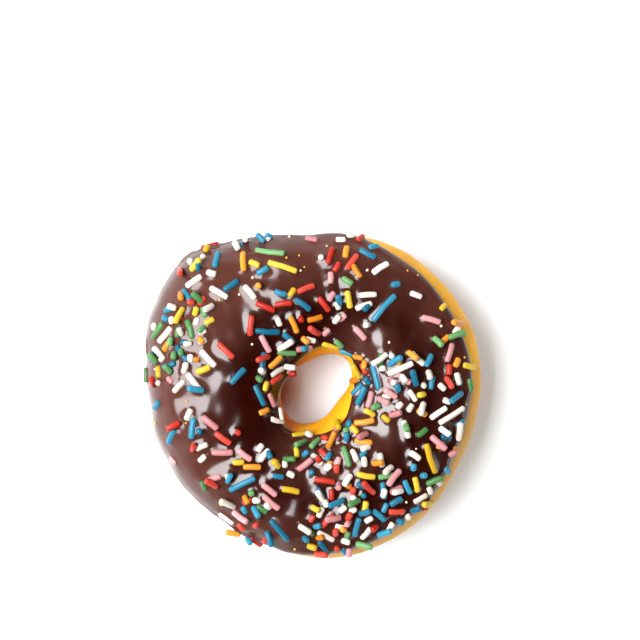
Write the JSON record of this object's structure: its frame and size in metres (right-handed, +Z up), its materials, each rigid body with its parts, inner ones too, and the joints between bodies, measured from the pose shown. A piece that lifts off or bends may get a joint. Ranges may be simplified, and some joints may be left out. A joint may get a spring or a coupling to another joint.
{
  "type": "sprinkle frosted doughnut",
  "caption": "Ring doughnut of fried yeast dough with set chocolate icing over its top and mixed-colour sugar strand sprinkles stuck in the icing.",
  "frame": {"origin": "under the middle of the doughnut, on the surface that it rests on", "axes": "+Z up through the hole; +X and +Y lie in the plane of the ring, and the icing reaches lowest towards -X"},
  "size_m": [0.0907, 0.0876, 0.0345],
  "materials": {
    "dough": "soft golden-brown fried crust with a paler band round the waist",
    "icing": "smooth, wet-looking dark chocolate icing"
  },
  "bodies": {
    "root": {"dough_ring": "dough", "icing_with_sprinkles": "icing"}
  },
  "joints": []
}
